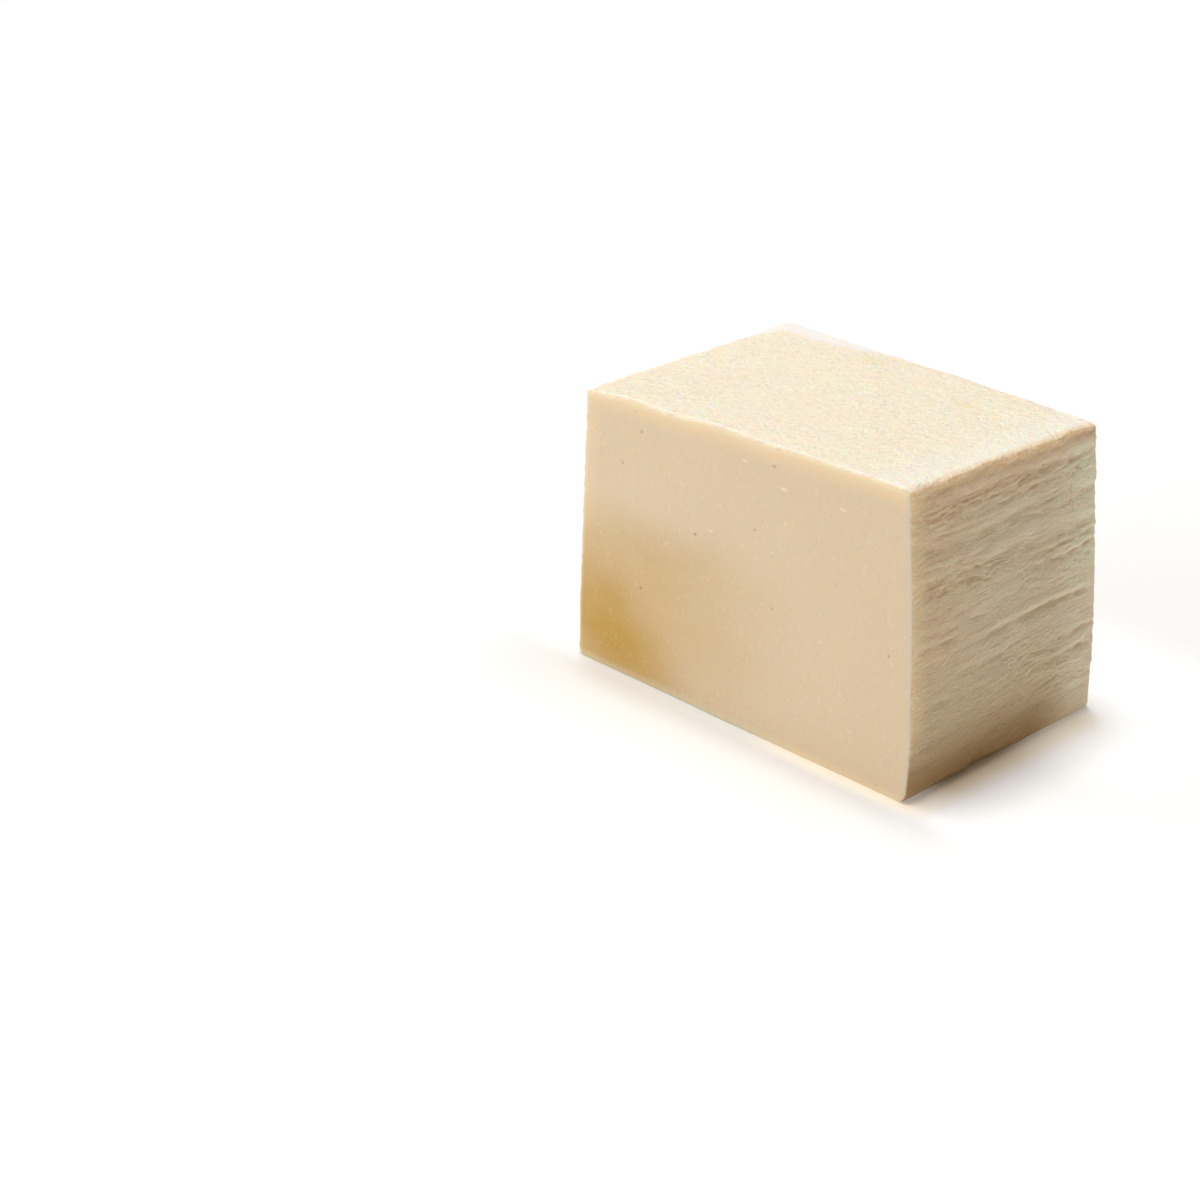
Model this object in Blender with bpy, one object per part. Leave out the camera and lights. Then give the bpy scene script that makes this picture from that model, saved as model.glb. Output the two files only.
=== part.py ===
"""A block of firm tofu, cut smooth with a knife along its front and back and torn along the grain at its ends.

Metres, +Z up. The origin is at the middle of the box round the block, on the surface that it stands on.
The front cut face looks along -Y, and the ridged end that shows looks along +X.
"""

import math

import bmesh
import bpy
from mathutils import Matrix, Vector, noise

MM = 0.001

# Driving dimensions, in millimetres. The soft block spreads a little towards its foot.
LENGTH = 90.0
DEPTH = 56.0
HEIGHT = 60.0
EDGE_RADIUS = 1.0

# How far the foot and the head of each upright edge lie from that box's corners along X, Y and Z,
# by (end, side): -1 is left or front, 1 is right or back.
FOOT_SPREAD = {
    (-1, -1): (-1.9, -1.2, 0.0),
    (1, -1): (2.4, -1.1, 0.0),
    (-1, 1): (-1.4, 2.0, 0.0),
    (1, 1): (0.6, 0.9, 0.0),
}
HEAD_SPREAD = {
    (-1, -1): (1.6, 0.7, 0.8),
    (1, -1): (-0.8, 0.9, 0.8),
    (-1, 1): (2.6, 0.9, 0.2),
    (1, 1): (-1.3, -1.8, -0.1),
}

# The top rises by a low step along the front edge, and its back left corner is worn.
STEP_RISE = 0.95
STEP_PLACE = -13.0
STEP_WIDTH = 13.0
WEAR_DEPTH = 1.1
WEAR_REACH = 26.0
TOP_UNEVENNESS = 0.18
CUT_UNEVENNESS = 0.2

# Above the foot, the ends tuck back under the block.
TUCK_DEPTH = 2.0
TUCK_HEIGHT = 13.0

# The ledges torn along each end: height on the block, relief, half width, and where along Y they start and end.
RIGHT_LEDGES = (
    (57.5, 0.35, 1.1, -30.0, 30.0),
    (50.0, 0.30, 1.8, -30.0, 30.0),
    (42.5, 0.25, 2.0, -30.0, 30.0),
    (35.8, 0.30, 0.9, -24.0, -8.0),
    (31.8, 0.25, 1.0, -30.0, -6.0),
    (28.2, 0.50, 1.2, -4.0, 30.0),
    (21.5, 0.20, 1.4, -30.0, 4.0),
    (16.5, 0.35, 1.2, 2.0, 30.0),
    (12.5, 0.25, 1.3, 6.0, 30.0),
)
LEFT_LEDGES = (
    (56.5, 0.35, 1.2, -30.0, 30.0),
    (48.5, 0.30, 1.6, -30.0, 12.0),
    (43.0, 0.35, 1.3, -10.0, 30.0),
    (36.0, 0.30, 1.8, -30.0, 30.0),
    (29.5, 0.45, 1.2, -30.0, 2.0),
    (24.5, 0.25, 1.0, -4.0, 30.0),
    (18.0, 0.30, 1.4, -30.0, 30.0),
    (12.0, 0.25, 1.2, -18.0, 30.0),
)
LEDGE_FADE = 8.0
LIP_UNEVENNESS = 0.5
GRAIN_WAVE = 1.2
GRAIN_RELIEF = 0.22
# How far in from an end its relief dies away on the faces beside it.
END_REACH = 4.0

# Cells of the surface along each side, between the rounded edges.
CELLS = {"x": 20, "y": 12, "z": 36}

TOFU_COLOUR = (0.84, 0.72, 0.54, 1.0)


def blend(low, high, share):
    return low + (high - low) * share


def smooth_step(share):
    """From 0 to 1 with a soft start and end."""
    share = min(max(share, 0.0), 1.0)
    return share * share * (3.0 - 2.0 * share)


def unevenness(*place):
    return noise.noise(Vector(place))


def ledge(height):
    """A crest above 0 and the groove that it overhangs below 0, each one unit at most."""
    return height * math.exp(0.5 - height * height / 2.0)


def end_relief(ledges, y, z, seed):
    """How far an end stands out at a place, with its grain running along Y."""
    along = z + GRAIN_WAVE * unevenness(0.045 * y, 0.08 * z, seed)
    relief = GRAIN_RELIEF * unevenness(0.03 * y, 0.45 * along, seed + 10.0)
    for place, depth, half_width, start, end in ledges:
        shown = smooth_step((y - start) / LEDGE_FADE) * smooth_step((end - y) / LEDGE_FADE)
        relief += depth * shown * ledge((along - place) / half_width)
    lip = smooth_step((z - HEIGHT + 3.0) / 3.0)
    return relief + LIP_UNEVENNESS * lip * unevenness(0.16 * y, 0.0, seed + 20.0)


def tuck(z):
    return -TUCK_DEPTH * max(1.0 - z / TUCK_HEIGHT, 0.0) ** 1.5


def between_edges(spreads, u, v):
    """Runs what is kept for each upright edge evenly over the plan; u and v go from 0 to 1."""
    front = blend(Vector(spreads[-1, -1]), Vector(spreads[1, -1]), u)
    back = blend(Vector(spreads[-1, 1]), Vector(spreads[1, 1]), u)
    return blend(front, back, v)


def top_rise(x, y, v):
    """How far the top stands above the plane through its corners."""
    step = STEP_RISE * (smooth_step((x - STEP_PLACE) / STEP_WIDTH + 0.5) - 0.5)
    return step * (1.0 - v) + TOP_UNEVENNESS * unevenness(0.09 * x, 0.09 * y, 5.0)


def rounded(point, half):
    """Pulls a point of a box onto the same box with round edges."""
    core = Vector([max(-h + EDGE_RADIUS, min(h - EDGE_RADIUS, p)) for p, h in zip(point, half)])
    out = point - core
    return core + out.normalized() * EDGE_RADIUS


def shaped(point):
    """Where a point of the plain box, in millimetres from its centre, lies on the real block."""
    half = Vector((LENGTH, DEPTH, HEIGHT)) / 2.0
    x, y, z = rounded(point, half)
    u, v, w = x / LENGTH + 0.5, y / DEPTH + 0.5, z / HEIGHT + 0.5
    spread = blend(between_edges(FOOT_SPREAD, u, v), between_edges(HEAD_SPREAD, u, v), w)
    z = w * (HEIGHT + top_rise(x, y, v)) + spread.z

    end = 1 if x > 0 else -1
    near_end = smooth_step(1.0 - (half.x - abs(x)) / END_REACH)
    relief = end_relief(RIGHT_LEDGES if end > 0 else LEFT_LEDGES, y, z, 1.0 + end)
    out_x = end * near_end * (relief + tuck(z))

    side = 1 if y > 0 else -1
    near_side = smooth_step(1.0 - (half.y - abs(y)) / END_REACH)
    out_y = side * near_side * CUT_UNEVENNESS * unevenness(0.05 * x, 0.05 * z, 30.0 + side)
    worn = smooth_step(1.0 - (x + half.x) / WEAR_REACH) * smooth_step((y - half.y + 8.0) / 8.0)
    out_y -= WEAR_DEPTH * worn * smooth_step((z - HEIGHT + 12.0) / 12.0)

    return Vector((x + spread.x + out_x, y + spread.y + out_y, z))


def cut_places(length, cells):
    """Where the surface is divided along one side: closely over the rounded edges, evenly between them."""
    half = length / 2.0
    edge = [EDGE_RADIUS * math.tan(math.pi / 8.0), EDGE_RADIUS]
    middle = [blend(-half + EDGE_RADIUS, half - EDGE_RADIUS, i / cells) for i in range(1, cells)]
    return [-half + e for e in edge] + middle + [half - e for e in reversed(edge)]


def divide(mesh, axis, length, cells):
    normal = Vector((axis == "x", axis == "y", axis == "z"))
    for place in cut_places(length, cells):
        geometry = mesh.verts[:] + mesh.edges[:] + mesh.faces[:]
        bmesh.ops.bisect_plane(mesh, geom=geometry, plane_co=normal * place, plane_no=normal, dist=1e-5)


def centred_on_base(points):
    """The shift that brings the middle of the box round the points over the origin."""
    low = Vector([min(p[axis] for p in points) for axis in range(3)])
    high = Vector([max(p[axis] for p in points) for axis in range(3)])
    return Vector((-(low.x + high.x) / 2.0, -(low.y + high.y) / 2.0, -low.z))


def flat_underside(mesh):
    """The faces under the plain box that its round edges leave flat."""
    half = Vector((LENGTH, DEPTH, HEIGHT)) / 2.0
    flat = []
    for face in mesh.faces:
        centre = face.calc_center_median()
        inside = half.x - abs(centre.x) > EDGE_RADIUS and half.y - abs(centre.y) > EDGE_RADIUS
        if face.normal.z < -0.5 and inside:
            flat.append(face)
    return flat


def tofu_material():
    material = bpy.data.materials.new("tofu")
    material.use_nodes = True
    shader = material.node_tree.nodes["Principled BSDF"]
    shader.inputs["Base Color"].default_value = TOFU_COLOUR
    shader.inputs["Roughness"].default_value = 0.45
    shader.inputs["Metallic"].default_value = 0.0
    return material


def make_block():
    mesh = bmesh.new()
    bmesh.ops.create_cube(mesh, size=1.0, matrix=Matrix.Diagonal((LENGTH, DEPTH, HEIGHT, 1.0)))
    divide(mesh, "x", LENGTH, CELLS["x"])
    divide(mesh, "y", DEPTH, CELLS["y"])
    divide(mesh, "z", HEIGHT, CELLS["z"])

    mesh.normal_update()
    bmesh.ops.dissolve_faces(mesh, faces=flat_underside(mesh), use_verts=True)

    for vertex in mesh.verts:
        vertex.co = shaped(vertex.co)
    shift = centred_on_base([vertex.co for vertex in mesh.verts])
    for vertex in mesh.verts:
        vertex.co = (vertex.co + shift) * MM

    data = bpy.data.meshes.new("tofu_block")
    mesh.to_mesh(data)
    mesh.free()
    data.shade_smooth()
    data.set_sharp_from_angle(angle=math.radians(60.0))
    data.materials.append(tofu_material())
    block = bpy.data.objects.new("tofu_block", data)
    bpy.context.scene.collection.objects.link(block)
    return block


def main():
    for existing in list(bpy.data.objects):
        bpy.data.objects.remove(existing, do_unlink=True)
    make_block()


main()
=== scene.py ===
"""The looks of a block of firm tofu: smooth cuts at its front and back, torn ends and a moist, wrinkled top.

The block stands on its underside over the origin. Its front looks along -Y, and the torn end that is seen first
looks along +X. Lengths are in millimetres, and MM turns them into Blender's metres.
"""

import math

import bmesh
import bpy
from mathutils import Matrix, Vector, noise


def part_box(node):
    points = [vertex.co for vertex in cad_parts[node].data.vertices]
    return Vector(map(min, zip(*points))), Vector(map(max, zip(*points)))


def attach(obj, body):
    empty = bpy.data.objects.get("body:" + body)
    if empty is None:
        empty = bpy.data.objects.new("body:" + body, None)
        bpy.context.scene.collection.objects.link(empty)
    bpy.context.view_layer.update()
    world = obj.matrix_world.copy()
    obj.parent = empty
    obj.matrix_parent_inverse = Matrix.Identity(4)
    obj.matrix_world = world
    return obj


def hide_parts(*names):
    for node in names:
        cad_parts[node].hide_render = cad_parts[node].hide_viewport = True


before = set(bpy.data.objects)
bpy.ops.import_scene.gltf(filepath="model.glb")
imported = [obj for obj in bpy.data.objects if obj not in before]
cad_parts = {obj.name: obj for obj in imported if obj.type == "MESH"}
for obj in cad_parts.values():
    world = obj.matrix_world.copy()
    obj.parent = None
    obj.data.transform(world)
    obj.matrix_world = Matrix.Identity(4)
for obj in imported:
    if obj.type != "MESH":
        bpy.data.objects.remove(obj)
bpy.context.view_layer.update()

bl_info = {
    "name": "Tofu Block",
    "version": (1, 0, 0),
    "blender": (4, 5, 0),
    "location": "View3D > Sidebar > Tofu",
    "description": "Models a block of firm tofu round its packed frame, with a soft studio to see it in",
    "category": "Object",
}

MM = 0.001
NODE = "tofu_block"
PIECE = "tofu_block_curd"

LOW, HIGH = (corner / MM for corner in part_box(NODE))
MIDDLE = (LOW + HIGH) / 2.0
SIZE = HIGH - LOW
HALF = SIZE / 2.0

# How far each upright edge of the block stands in from the frame's box along X, Y and Z, at its foot and at its
# head, by (end, side): -1 is left or front, 1 is right or back.
FOOT_INSETS = {
    (-1, -1): (-0.85, -0.55, 0.0),
    (1, -1): (-1.3, -0.15, 0.0),
    (-1, 1): (-0.2, 0.0, 0.0),
    (1, 1): (0.8, 3.0, 0.0),
}
HEAD_INSETS = {
    (-1, -1): (2.8, 2.0, 0.65),
    (1, -1): (2.3, 2.2, 0.85),
    (-1, 1): (4.2, -0.1, 0.0),
    (1, 1): (3.0, 3.8, 1.4),
}

# The top rises by a low step along the front edge, droops towards the left and dips at the front left corner.
STEP_RISE = 0.95
STEP_PLACE = -13.0
STEP_WIDTH = 13.0
DROOP_DEPTH = 0.55
DROOP_REACH = 14.0
DIP_DEPTH = 0.25
DIP_REACH = 5.0
DIP_INSET = 2.0

# Noise is laid down as (height, waves in each millimetre along the first axis, along the second, seed).
TOP_WAVES = ((0.18, 0.09, 0.09, 5.0), (0.09, 0.22, 0.22, 7.0))
CUT_WAVES = ((0.2, 0.05, 0.05, 30.0),)

# How far the front and back edges of the top stand up: (place along X, rise).
FRONT_LIP = (
    (-45.0, 0.0),
    (-33.0, 0.15),
    (-24.0, 0.2),
    (-15.0, 0.15),
    (-8.0, 0.0),
    (8.0, -0.35),
    (20.0, 0.1),
    (45.0, 0.0),
)
FRONT_LIP_REACH = 10.0
BACK_LIP = (
    (-45.0, 0.25),
    (-32.0, 0.13),
    (-16.5, 0.12),
    (-10.5, 0.30),
    (2.0, 0.22),
    (12.5, 0.40),
    (25.0, 0.20),
    (38.0, 0.20),
    (45.0, 0.10),
)
BACK_LIP_REACH = 24.0

# The right end swells a little halfway up. Near the foot, both ends tuck back under the block, by (end, side),
# and more sharply over the toe. The right one steps back by a notch behind a place along Y.
SWELL = 0.35
TUCK_DEPTHS = {(-1, -1): 0.9, (-1, 1): 0.9, (1, -1): 2.5, (1, 1): 1.1}
TUCK_HEIGHT = 13.0
TUCK_TOE = 0.44
TOE_HEIGHT = 2.2
NOTCH_DEPTH = 0.7
NOTCH_PLACE = -10.4
NOTCH_STEP = 0.9
NOTCH_LENGTH = 12.0
NOTCH_HEIGHT = 6.0

# How far in from an end or a side its bulges die away on the faces beside it.
BULGE_REACH = 4.0

# The ledges torn along each end: height on the block, rise for each millimetre towards the back, relief,
# half width, and where along Y they start and end.
RIGHT_LEDGES = (
    (57.4, 0.000, 0.22, 1.0, -30.0, 30.0),
    (55.2, 0.012, 0.14, 0.5, -27.0, 4.0),
    (53.9, 0.018, 0.13, 0.5, -12.0, 26.0),
    (51.6, 0.012, 0.15, 0.4, -24.0, 8.0),
    (49.9, 0.004, 0.22, 1.4, -30.0, 33.0),
    (47.6, 0.010, 0.18, 0.5, 2.0, 26.0),
    (45.6, 0.012, 0.18, 0.5, -30.0, -4.0),
    (43.0, 0.006, 0.26, 1.6, -30.0, 30.0),
    (41.2, 0.012, 0.16, 0.4, -26.0, -6.0),
    (39.6, 0.016, 0.20, 0.5, 2.0, 40.0),
    (37.4, 0.010, 0.20, 0.5, 6.0, 40.0),
    (35.8, -0.010, 0.26, 0.7, -21.0, -9.0),
    (33.4, 0.004, 0.20, 0.9, -30.0, 0.0),
    (31.4, 0.012, 0.26, 0.7, -30.0, -13.0),
    (28.1, 0.004, 0.46, 0.8, -10.0, 31.0),
    (27.4, 0.000, 0.26, 0.8, -30.0, -21.0),
    (23.4, 0.008, 0.16, 0.7, -18.0, 4.0),
    (18.4, 0.004, 0.22, 0.7, -30.0, -2.0),
    (19.6, 0.020, 0.16, 0.7, 2.0, 33.0),
    (15.8, 0.016, 0.26, 0.8, 8.0, 30.0),
    (11.8, 0.020, 0.20, 0.8, 10.0, 28.0),
    (7.5, 0.000, 0.16, 1.2, -30.0, 30.0),
)
LEFT_LEDGES = (
    (56.6, 0.000, 0.32, 1.1, -30.0, 30.0),
    (53.2, 0.014, 0.18, 0.6, -20.0, 16.0),
    (48.6, -0.008, 0.32, 1.5, -30.0, 12.0),
    (45.8, 0.010, 0.18, 0.6, 2.0, 30.0),
    (42.8, 0.006, 0.30, 1.2, -10.0, 30.0),
    (39.0, 0.012, 0.16, 0.6, -30.0, 0.0),
    (35.8, 0.004, 0.30, 1.6, -30.0, 30.0),
    (32.0, -0.010, 0.18, 0.6, -6.0, 18.0),
    (29.4, 0.004, 0.50, 1.0, -30.0, 2.0),
    (24.6, 0.010, 0.26, 0.9, -4.0, 30.0),
    (21.0, 0.014, 0.18, 0.7, -26.0, -4.0),
    (17.8, 0.004, 0.28, 1.2, -30.0, 30.0),
    (12.2, 0.012, 0.24, 0.9, -18.0, 30.0),
    (7.8, 0.000, 0.18, 1.2, -30.0, 20.0),
)
LEDGE_FADE = 7.0
LEDGE_WAVES = ((1.1, 0.045, 0.08, 0.0), (0.35, 0.17, 0.2, 1.0))
# How strong a ledge is, how much that changes along it, and how quickly.
LEDGE_STRENGTH = 0.8
LEDGE_CHANGE = 0.8
LEDGE_PACE = 0.22
LEDGE_SEED = 2.0

# The fibres of the ends, which rise towards the back: their waves, their relief and what is added where rough.
FIBRE_SLANT = 0.10
FIBRE_WAVES = ((0.8, 0.09, 0.14, 0.0), (0.35, 0.4, 0.4, 1.5))
FIBRES = ((0.16, 0.05, 0.5, 3.0), (0.11, 0.26, 1.3, 6.0), (0.07, 0.5, 1.9, 7.0))
ROUGH_FIBRES = ((0.10, 0.26, 1.3, 6.0), (0.04, 0.5, 1.9, 7.0))
# Sharp crests along the fibres: relief, what is added where rough, the pace of their noise along Y and across,
# and how high and how sharp they are.
CREST_RELIEF = (0.05, 0.09)
CREST_PACES = (0.36, 0.9)
CREST_HEIGHT = 0.4
CREST_SHARPNESS = 2.0
CREST_SEED = 9.0
# Crumbs: relief, what is added where rough, and how much Y and Z count in each direction of their noise.
CRUMB_RELIEF = (0.04, 0.12)
CRUMB_PACES = ((0.7, 0.6), (-0.25, 1.4))
CRUMB_SEED = 12.0
# The noise of the right end starts a step past this seed, and that of the left end a step before it.
END_SEED = 40.0
SEED_STEP = 17.0

# Rough patches on each end, as (place along Y, height, half length, half height).
RIGHT_ROUGH = (
    (0.0, 54.5, 30.0, 2.4),
    (-14.0, 41.0, 11.0, 3.0),
    (12.0, 17.8, 15.0, 4.2),
    (18.0, 36.5, 12.0, 4.0),
    (19.0, 11.0, 9.0, 4.0),
)
LEFT_ROUGH = (
    (0.0, 54.0, 30.0, 2.6),
    (12.0, 40.0, 14.0, 3.4),
    (-12.0, 19.0, 15.0, 4.4),
    (-16.0, 34.0, 10.0, 3.0),
)
# How far out a patch ends, as a share of its half sizes.
PATCH_RIM = 1.6

# Short cuts and cracks in the right end: start and finish as (place along Y, height), depth and half width.
RIGHT_CUTS = (
    ((-22.4, 43.6), (-21.5, 40.6), 0.16, 0.25),
    ((-21.5, 40.6), (-22.2, 38.6), 0.16, 0.25),
    ((21.6, 53.4), (20.6, 49.4), 0.30, 0.25),
    ((20.6, 49.4), (21.4, 45.6), 0.30, 0.25),
    ((-9.8, 39.7), (-5.6, 38.6), 0.16, 0.35),
    ((6.0, 33.4), (11.0, 32.6), 0.14, 0.40),
)
# The low burr along both sides of a cut and how far out the cut ends, as shares of its depth and half width.
BURR_HEIGHT = 0.35
BURR_PLACE = 2.0
CUT_REACH = 4.0

# The top of the right end is torn in uneven steps: (place along Y, height).
RIGHT_LIP = (
    (-29.0, 60.6),
    (-25.5, 60.4),
    (-19.5, 60.3),
    (-16.6, 60.55),
    (-14.0, 60.45),
    (-11.2, 60.4),
    (-8.0, 60.8),
    (-5.0, 60.8),
    (-2.0, 60.55),
    (0.5, 60.25),
    (5.6, 60.3),
    (8.5, 60.0),
    (11.4, 60.1),
    (14.6, 59.95),
    (18.0, 59.65),
    (20.6, 60.55),
    (23.4, 60.05),
    (26.0, 59.8),
    (29.0, 59.55),
)
LIP_JAGS = ((0.25, 0.9, 0.0, 61.0),)
LIP_REACH = 2.4
LIP_HEIGHT = 4.0
# How much the lip is rounded off, how far in, and over how much of its back part that fades.
LIP_ROUND = 0.4
LIP_ROUND_REACH = 1.8
LIP_FADE = 9.0
# How ragged the tops of both ends are.
RAGGED = ((0.3, 0.7, 0.5, 64.0),)

# Raised nicks and blisters on the front cut, which the material paints with highlights: (place along X, height,
# half length, half height, rise).
FRONT_NICKS = (
    (2.4, 56.4, 0.9, 0.30, 0.20),
    (13.5, 53.4, 1.1, 0.32, 0.24),
    (29.2, 53.4, 1.0, 0.30, 0.22),
    (-6.6, 39.4, 0.8, 0.28, 0.18),
    (10.3, 39.8, 0.7, 0.26, 0.18),
    (-39.8, 30.4, 0.4, 0.6, 0.14),
    (-40.6, 26.6, 0.4, 0.5, 0.12),
    (-36.2, 24.4, 0.4, 0.5, 0.12),
    (-35.8, 13.4, 0.4, 0.6, 0.11),
    (-34.0, 7.8, 0.5, 0.5, 0.11),
    (-19.6, 33.6, 0.6, 0.5, 0.14),
    (-15.8, 37.4, 0.6, 0.4, 0.14),
    (31.5, 10.0, 0.7, 0.5, 0.16),
    (24.0, 25.6, 0.9, 0.4, 0.12),
)
# Pinholes in the front cut: (place along X, height, radius).
FRONT_PINHOLES = (
    (-28.6, 55.4, 0.32),
    (10.6, 57.4, 0.30),
    (-34.0, 47.4, 0.30),
    (5.4, 43.2, 0.30),
    (-11.4, 37.6, 0.34),
    (10.7, 28.4, 0.30),
    (41.0, 28.4, 0.28),
    (-27.0, 21.4, 0.34),
)
# A pinhole's depth as a share of its radius, and how far round a mark the surface is divided finely.
PINHOLE_DEPTH = 1.1
MARK_REACH = 2.0

# Marks lie only where the surface faces them at least this much.
FACING = 0.5

# Below this height nothing stands out, so that the underside stays flat.
FLAT_HEIGHT = 0.12

# Cells of the surface along each side between the rounded edges. An end's cells are END_SPLIT times lower,
# and the cells round a mark are cut MARK_SPLIT times.
CELLS = Vector((98, 100, 77))
END_SPLIT = 3
MARK_SPLIT = 3
EDGE_SEGMENTS = 4

# From what share of its length along an axis an edge or a normal is taken to lie along it, and up to what
# share across it.
ALONG = 0.999
ACROSS = 0.01


# ----------------------------------------------------------------------------------------------------------
# Shape


def blend(low, high, share):
    return low + (high - low) * share


def smooth_step(share):
    """From 0 to 1 with a soft start and end."""
    share = min(max(share, 0.0), 1.0)
    return share * share * (3.0 - 2.0 * share)


def unevenness(*place):
    return noise.noise(Vector(place))


def waves(layers, first, second, seed=0.0):
    """The sum of layers of noise at a place, with their seeds shifted by one more."""
    total = 0.0
    for height, first_pace, second_pace, shift in layers:
        total += height * unevenness(first_pace * first, second_pace * second, seed + shift)
    return total


def ledge(height):
    """A crest above 0 and the groove that it overhangs below 0, each one unit at most."""
    return height * math.exp(0.5 - height * height / 2.0)


def patch(across, up):
    """1 in the middle of an oval of unit half sizes, fading to 0 over its rim."""
    return smooth_step(PATCH_RIM - math.hypot(across, up))


def between_steps(steps, place):
    """The value at a place along a list of (place, value) steps, softly joined."""
    for (start, low), (end, high) in zip(steps, steps[1:]):
        if place < end:
            return blend(low, high, smooth_step((place - start) / (end - start)))
    return steps[-1][1]


def to_line(place, start, end):
    """How far a place lies from the straight line between two others."""
    line = end - start
    share = min(max((place - start).dot(line) / line.length_squared, 0.0), 1.0)
    return (place - start - line * share).length


def grain(y, z, seed, roughness):
    """The fibres of an end, with sharp crests and crumbs, which are stronger where the curd is rough."""
    along = z + waves(FIBRE_WAVES, y, z, seed) - FIBRE_SLANT * y
    crest = abs(unevenness(CREST_PACES[0] * y, CREST_PACES[1] * along, seed + CREST_SEED))
    crest = CREST_HEIGHT - CREST_SHARPNESS * crest
    crumb = unevenness(*(by_y * y + by_z * z for by_y, by_z in CRUMB_PACES), seed + CRUMB_SEED)
    relief = waves(FIBRES, y, along, seed) + roughness * waves(ROUGH_FIBRES, y, along, seed)
    for (smooth, rough), shape in ((CREST_RELIEF, crest), (CRUMB_RELIEF, crumb)):
        relief += (smooth + rough * roughness) * shape
    return relief


def torn_relief(end, y, z):
    """How far a torn end stands out at a place."""
    ledges, rough = (RIGHT_LEDGES, RIGHT_ROUGH) if end > 0 else (LEFT_LEDGES, LEFT_ROUGH)
    seed = END_SEED + SEED_STEP * end
    wave = waves(LEDGE_WAVES, y, z, seed)
    relief = 0.0
    for place, slope, depth, half_width, start, finish in ledges:
        shown = smooth_step((y - start) / LEDGE_FADE) * smooth_step((finish - y) / LEDGE_FADE)
        if shown > 0.0:
            height = (z + wave - place - slope * y) / half_width
            strength = LEDGE_STRENGTH + LEDGE_CHANGE * unevenness(LEDGE_PACE * y, place, seed + LEDGE_SEED)
            relief += depth * shown * strength * ledge(height)
    roughness = max(patch((y - at) / length, (z - height) / rise) for at, height, length, rise in rough)
    return relief + grain(y, z, seed, roughness)


def groove(distance):
    """A groove one unit deep, with a low burr on both sides."""
    return math.exp(-distance * distance) - BURR_HEIGHT * math.exp(-((distance - BURR_PLACE) ** 2))


def cuts_relief(y, z):
    """The cuts and cracks of the right end."""
    place = Vector((y, z))
    relief = 0.0
    for start, finish, depth, half_width in RIGHT_CUTS:
        distance = to_line(place, Vector(start), Vector(finish))
        if distance < CUT_REACH * half_width:
            relief -= depth * groove(distance / half_width)
    return relief


def tuck(end, y, z, v):
    """How far an end is pulled in near its foot."""
    depth = blend(TUCK_DEPTHS[end, -1], TUCK_DEPTHS[end, 1], v)
    slope = max(1.0 - z / TUCK_HEIGHT, 0.0)
    toe = max(1.0 - z / TOE_HEIGHT, 0.0) ** 2
    pull = depth * blend(slope, toe, TUCK_TOE)
    if end > 0:
        past = y - NOTCH_PLACE
        shown = smooth_step(past / NOTCH_STEP) * smooth_step(1.0 - past / NOTCH_LENGTH)
        pull += NOTCH_DEPTH * shown * smooth_step(1.0 - z / NOTCH_HEIGHT)
    return pull


def between_edges(insets, u, v):
    """Where the foot or the head of the block lies at a place of its plan; u and v go from 0 to 1."""
    corners = {}
    for (end, side), inset in insets.items():
        corners[end, side] = Vector((end * (HALF.x - inset[0]), side * (HALF.y - inset[1]), -inset[2]))
    front = blend(corners[-1, -1], corners[1, -1], u)
    back = blend(corners[-1, 1], corners[1, 1], u)
    return blend(front, back, v)


def top_rise(x, y, v):
    """How far the top stands above the plane through its corners."""
    step = STEP_RISE * (smooth_step((x - STEP_PLACE) / STEP_WIDTH + 0.5) - 0.5)
    corner = math.hypot(x + HALF.x - DIP_INSET, y + HALF.y - DIP_INSET)
    dip = DIP_DEPTH * smooth_step(1.0 - corner / DIP_REACH)
    front = between_steps(FRONT_LIP, x) * smooth_step(1.0 - (y + HALF.y) / FRONT_LIP_REACH)
    back = between_steps(BACK_LIP, x) * smooth_step(1.0 - (HALF.y - y) / BACK_LIP_REACH)
    droop = DROOP_DEPTH * (1.0 - v) * smooth_step(1.0 - (x + HALF.x) / DROOP_REACH)
    return step * (1.0 - v) - dip - droop + front + back + waves(TOP_WAVES, x, y)


def marks_relief(x, z):
    """The nicks, blisters and pinholes of the front cut."""
    relief = 0.0
    for at, height, half_length, half_height, rise in FRONT_NICKS:
        reach = math.hypot((x - at) / half_length, (z - height) / half_height)
        relief += rise * math.exp(-reach * reach)
    for at, height, radius in FRONT_PINHOLES:
        reach = math.hypot(x - at, z - height) / radius
        relief -= PINHOLE_DEPTH * radius * math.exp(-reach * reach)
    return relief


def outward(plain, radius):
    """Which way the surface of the plain rounded box faces at a point of it."""
    core = Vector([max(-h + radius, min(h - radius, p)) for p, h in zip(plain, HALF)])
    return (plain - core).normalized()


def spread_foot(plain, out, radius):
    """Takes the round edge under the block out to its walls, as soft curd spreads flat on what it stands on."""
    level = Vector((out.x, out.y, 0.0))
    if out.z > -ACROSS or level.length < ACROSS:
        return plain
    return plain + (level.normalized() - level) * radius


def lip_shift(x, y, height, edge, near_end, near_top):
    """How far the torn lip along the top of the right end, whose plain edge has a height, moves a point."""
    near_lip = near_top * smooth_step(1.0 - (HALF.x - x) / LIP_REACH)
    torn = between_steps(RIGHT_LIP, y) - edge + waves(LIP_JAGS, y, 0.0)
    softness = LIP_ROUND * smooth_step((HALF.y - y) / LIP_FADE)
    by_end = max(1.0 - (HALF.x - x) / LIP_ROUND_REACH, 0.0) ** 2
    by_top = max(1.0 - (SIZE.z - height) / LIP_ROUND_REACH, 0.0) ** 2
    return Vector((-near_end * softness * by_top, 0.0, near_lip * torn - near_top * softness * by_end))


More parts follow.
